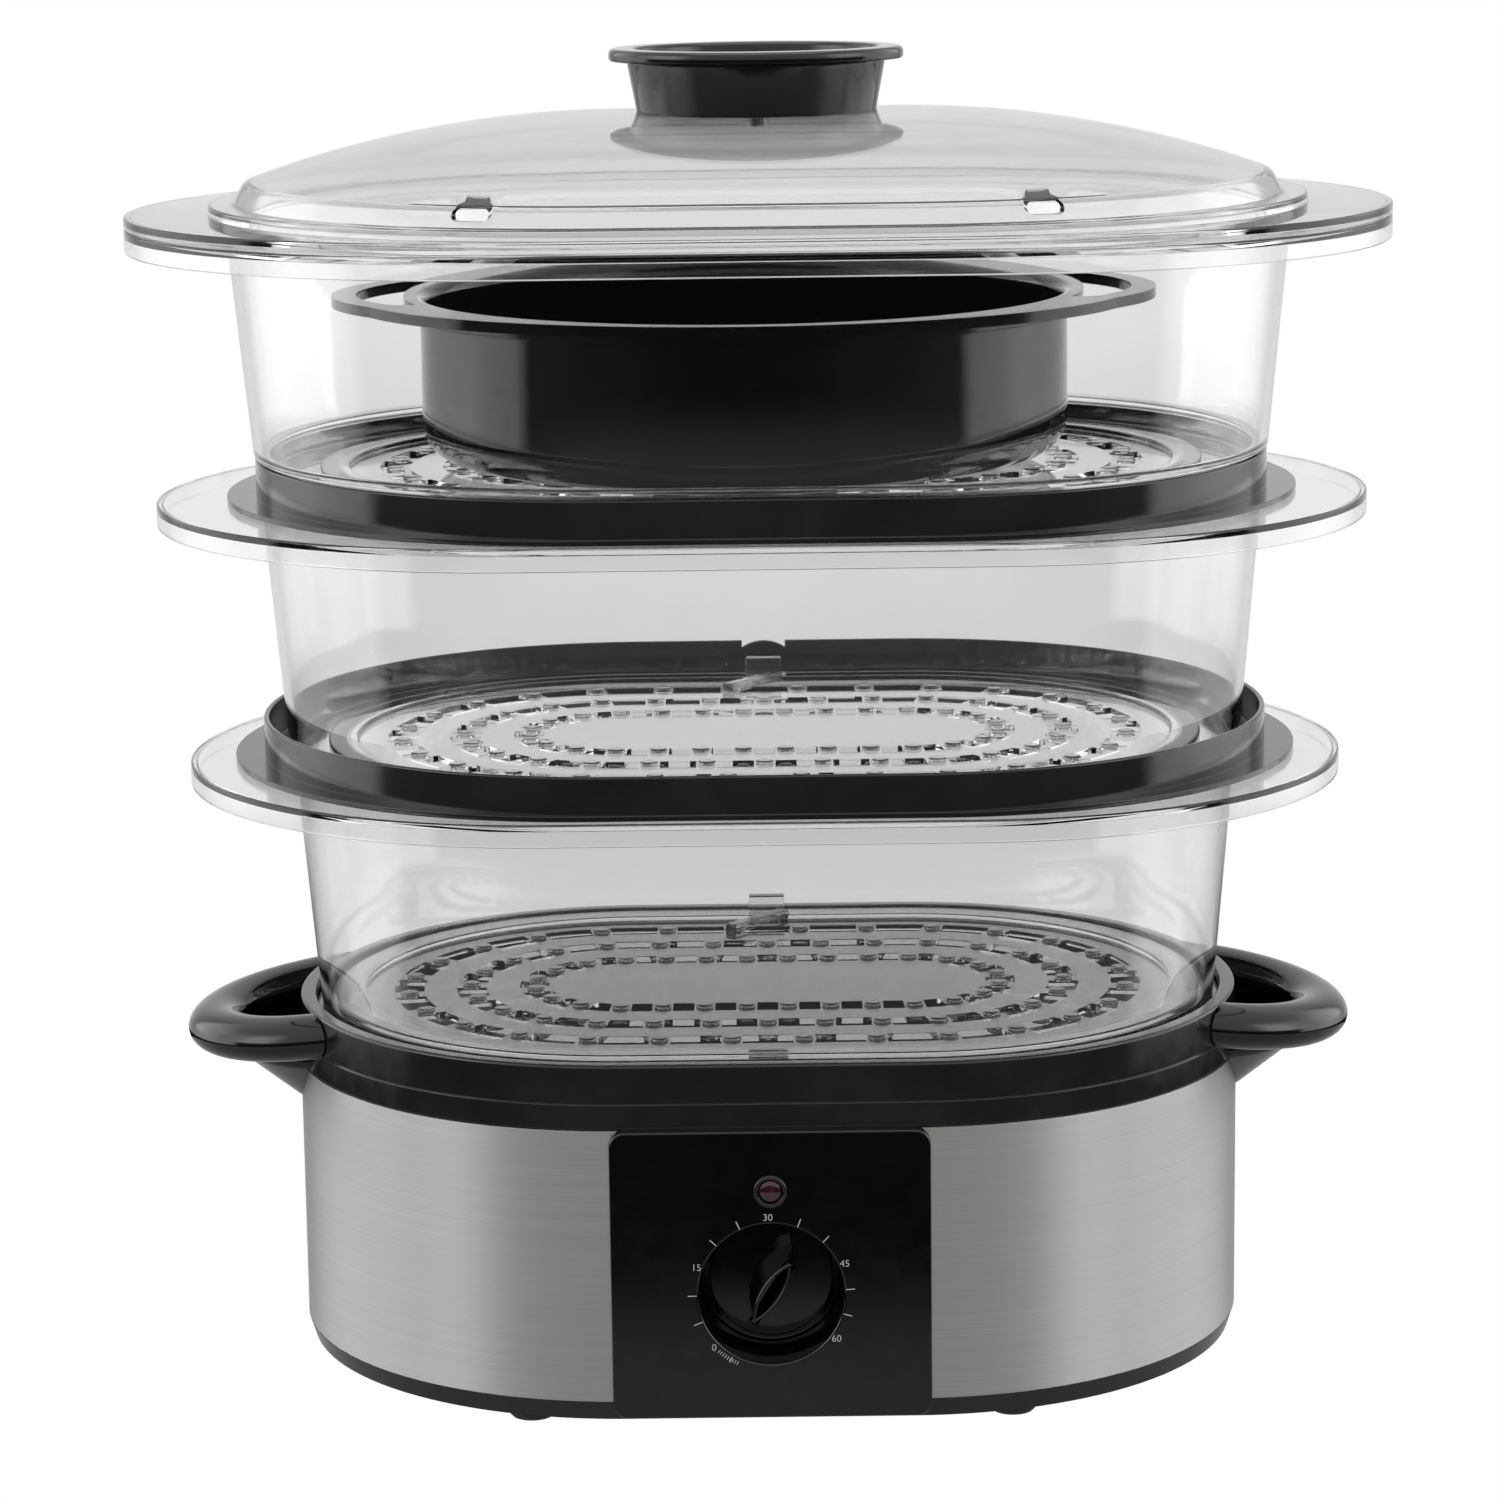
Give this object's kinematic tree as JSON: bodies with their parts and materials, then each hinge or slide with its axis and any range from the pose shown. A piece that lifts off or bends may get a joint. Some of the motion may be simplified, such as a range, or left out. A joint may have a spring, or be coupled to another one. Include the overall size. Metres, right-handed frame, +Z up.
{
  "type": "electric food steamer",
  "caption": "Oval electric food steamer: steel-clad base with timer knob and water tank, stacked clear baskets, rice bowl and domed lid.",
  "frame": {"origin": "on the surface the feet stand on, under the middle of the oval base", "axes": "+X to the right of the control panel, +Y towards the back, +Z up"},
  "size_m": [0.36, 0.2252, 0.3765],
  "materials": {
    "clear_plastic": "clear, glossy",
    "black_gloss_plastic": "high gloss",
    "black_plastic": "fine satin",
    "brushed_steel": "brushed along the band",
    "rubber": "matte",
    "red_lens": "clear, dark red",
    "bright_steel": "plated",
    "aluminium": "cast, satin",
    "grey_seal": "silicone, matte",
    "timer_case": "moulded, matte",
    "brass": "plated",
    "lamp_glass": "clear"
  },
  "bodies": {
    "base": {"bottom_plate": "black_plastic", "feet": "rubber", "bottom_screws": "bright_steel", "steel_band": "brushed_steel", "water_tank": "black_gloss_plastic", "left_handle": "black_gloss_plastic", "right_handle": "black_gloss_plastic", "left_spout": "black_gloss_plastic", "right_spout": "black_gloss_plastic", "handle_screws": "bright_steel", "control_panel": "black_gloss_plastic", "indicator_bezel": "black_gloss_plastic", "indicator_lens": "red_lens", "indicator_bulb": "lamp_glass", "timer_body": "timer_case", "timer_screws": "bright_steel", "timer_bell": "bright_steel", "heater_plate": "aluminium", "heater_seal": "grey_seal", "heating_element": "bright_steel", "heater_clamp": "bright_steel", "clamp_screws": "bright_steel", "thermostat": "aluminium", "thermal_fuse": "brass", "terminal_block": "timer_case", "cord_gland": "black_plastic"},
    "knob": {"timer_knob": "black_gloss_plastic", "timer_spindle": "bright_steel"},
    "steam_ring_body": {"steam_ring": "black_plastic"},
    "drip_tray_body": {"drip_tray": "black_gloss_plastic"},
    "tier_1": {"basket_1": "clear_plastic", "floor_1": "clear_plastic"},
    "ring_1": {"joint_ring_1": "black_gloss_plastic"},
    "tier_2": {"basket_2": "clear_plastic", "floor_2": "clear_plastic"},
    "ring_2": {"joint_ring_2": "black_gloss_plastic"},
    "tier_3": {"basket_3": "clear_plastic", "floor_3": "clear_plastic"},
    "bowl": {"rice_bowl": "black_gloss_plastic"},
    "lid": {"lid_dome": "clear_plastic", "lid_handle": "black_gloss_plastic", "lid_washer": "grey_seal", "lid_screw": "bright_steel"}
  },
  "joints": [
    {"name": "timer_turn", "type": "hinge", "parent": "base", "child": "knob", "pos_m": [0, -0.084, 0.0402], "axis": [0, 1, 0], "range_deg": [0, 275]},
    {"name": "basket_1_lift", "type": "slide", "parent": "base", "child": "tier_1", "axis": [0, 0, 1], "range_m": [0, 0.06]},
    {"name": "drip_tray_lift", "type": "slide", "parent": "base", "child": "drip_tray_body", "axis": [0, 0, 1], "range_m": [0, 0.03]},
    {"name": "steam_ring_lift", "type": "slide", "parent": "base", "child": "steam_ring_body", "axis": [0, 0, 1], "range_m": [0, 0.015]},
    {"name": "joint_ring_1_lift", "type": "slide", "parent": "tier_1", "child": "ring_1", "axis": [0, 0, 1], "range_m": [0, 0.025]},
    {"name": "basket_2_lift", "type": "slide", "parent": "ring_1", "child": "tier_2", "axis": [0, 0, 1], "range_m": [0, 0.06]},
    {"name": "joint_ring_2_lift", "type": "slide", "parent": "tier_2", "child": "ring_2", "axis": [0, 0, 1], "range_m": [0, 0.025]},
    {"name": "basket_3_lift", "type": "slide", "parent": "ring_2", "child": "tier_3", "axis": [0, 0, 1], "range_m": [0, 0.06]},
    {"name": "lid_lift", "type": "slide", "parent": "tier_3", "child": "lid", "axis": [0, 0, 1], "range_m": [0, 0.08]},
    {"name": "rice_bowl_lift", "type": "slide", "parent": "tier_3", "child": "bowl", "axis": [0, 0, 1], "range_m": [0, 0.04]}
  ],
  "couplings": [
    {"joint": "drip_tray_lift", "follows": "basket_1_lift", "ratio": 0.5},
    {"joint": "steam_ring_lift", "follows": "basket_1_lift", "ratio": 0.25},
    {"joint": "rice_bowl_lift", "follows": "lid_lift", "ratio": 0.5}
  ]
}
